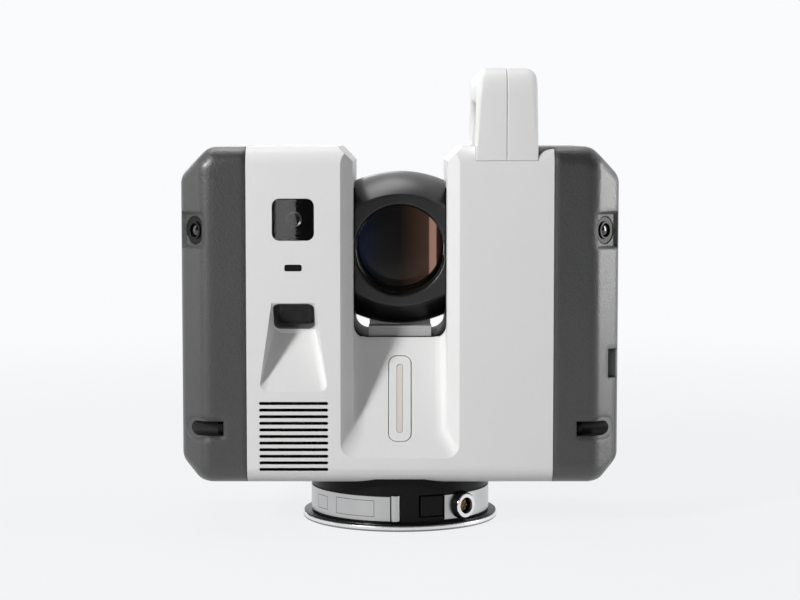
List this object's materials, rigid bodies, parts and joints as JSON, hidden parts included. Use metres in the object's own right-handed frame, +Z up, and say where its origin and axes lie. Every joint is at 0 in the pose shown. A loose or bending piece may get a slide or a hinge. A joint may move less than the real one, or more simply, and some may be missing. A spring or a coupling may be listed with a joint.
{
  "type": "laser scanner",
  "caption": "Compact terrestrial laser scanner: a turning body with two pillars, a spinning mirror between them, corner cameras, a carrying handle and a round tripod base.",
  "frame": {"origin": "centre of the base's underside, on the axis that the body turns about", "axes": "+X to the right seen from the front, +Y from the front to the rear, +Z up"},
  "size_m": [0.2403, 0.12, 0.254],
  "materials": {
    "ring_metal": "satin",
    "black_plastic": "satin",
    "brass": "satin",
    "steel": "brushed",
    "pale_metal": "satin",
    "chrome": "polished",
    "socket_brown": "matt",
    "cast_frame": "cast",
    "white_plastic": "satin",
    "dark_plastic": "fine grain",
    "grey_plastic": "matt",
    "light_plastic": "glowing",
    "dark_glass": "polished",
    "gloss_black": "gloss",
    "lens_glass": "coated",
    "barrel_metal": "satin",
    "screen_glass": "polished",
    "battery_plastic": "matt",
    "board_green": "satin",
    "rotor_black": "satin",
    "mirror": "coated",
    "coated_glass": "coated"
  },
  "bodies": {
    "base": {"mount_ring": "ring_metal", "base_drum": "black_plastic", "stub_socket": "brass", "spindle": "steel", "band_plates": "pale_metal", "power_socket": "chrome", "socket_insert": "socket_brown", "azimuth_gear": "brass", "bearing_inner": "steel", "slip_ring": "brass", "base_screws": "steel"},
    "release_key": {"release_key": "black_plastic"},
    "head": {"chassis": "cast_frame", "front_shell": "white_plastic", "rear_shell": "white_plastic", "left_cover": "dark_plastic", "right_cover": "dark_plastic", "well_liner": "black_plastic", "reference_block": "grey_plastic", "light_frame": "white_plastic", "light_lens": "light_plastic", "front_window": "dark_glass", "down_window": "dark_glass", "top_window": "dark_glass", "sensor_window": "gloss_black", "front_camera": "black_plastic", "front_lens": "lens_glass", "tilt_cameras": "black_plastic", "corner_cameras": "barrel_metal", "corner_lenses": "lens_glass", "fan_frame": "black_plastic", "display_glass": "screen_glass", "display_panel": "gloss_black", "battery_bay": "black_plastic", "batteries": "battery_plastic", "hinge_pin": "steel", "handle_left": "white_plastic", "handle_right": "white_plastic", "mirror_motor": "barrel_metal", "mirror_bearings": "steel", "encoder_head": "board_green", "telescope_tube": "barrel_metal", "telescope_window": "coated_glass", "laser_module": "cast_frame", "main_board": "board_green", "azimuth_motor": "barrel_metal", "bearing_outer": "steel", "bearing_balls": "steel", "slip_brush": "black_plastic", "cover_screws": "steel"},
    "mirror_rotor": {"rotor_housing": "rotor_black", "mirror_plate": "mirror", "rotor_shaft": "steel", "encoder_disc": "lens_glass"},
    "fan": {"fan_rotor": "black_plastic"},
    "azimuth_pinion": {"pinion": "steel"},
    "power_button": {"power_button": "dark_plastic"},
    "battery_door": {"battery_door": "dark_plastic"},
    "door_latch": {"door_latch": "dark_plastic"}
  },
  "joints": [
    {"name": "azimuth_turn", "type": "hinge", "parent": "base", "child": "head", "pos_m": [0, 0, 0], "axis": [0, 0, 1], "continuous": true},
    {"name": "mirror_spin", "type": "hinge", "parent": "head", "child": "mirror_rotor", "pos_m": [0, 0, 0.154], "axis": [1, 0, 0], "continuous": true},
    {"name": "pinion_spin", "type": "hinge", "parent": "head", "child": "azimuth_pinion", "pos_m": [0, 0.03372, 0], "axis": [0, 0, 1], "continuous": true},
    {"name": "fan_spin", "type": "hinge", "parent": "head", "child": "fan", "pos_m": [-0.05795, -0.0575, 0.0557], "axis": [0, 1, 0], "continuous": true},
    {"name": "door_hinge", "type": "hinge", "parent": "head", "child": "battery_door", "pos_m": [0.1045, 0, 0.0318], "axis": [0, 1, 0], "range_deg": [0, 105]},
    {"name": "latch_push", "type": "slide", "parent": "battery_door", "child": "door_latch", "axis": [-1, 0, 0], "range_m": [0, 0.0024], "stiffness_N_per_m": 400},
    {"name": "button_push", "type": "slide", "parent": "head", "child": "power_button", "axis": [1, 0, 0], "range_m": [0, 0.0012], "stiffness_N_per_m": 500},
    {"name": "key_push", "type": "slide", "parent": "base", "child": "release_key", "axis": [-0.3502, 0.9367, 0], "range_m": [0, 0.0025], "stiffness_N_per_m": 500}
  ],
  "couplings": [
    {"joint": "pinion_spin", "follows": "azimuth_turn", "ratio": 5}
  ]
}
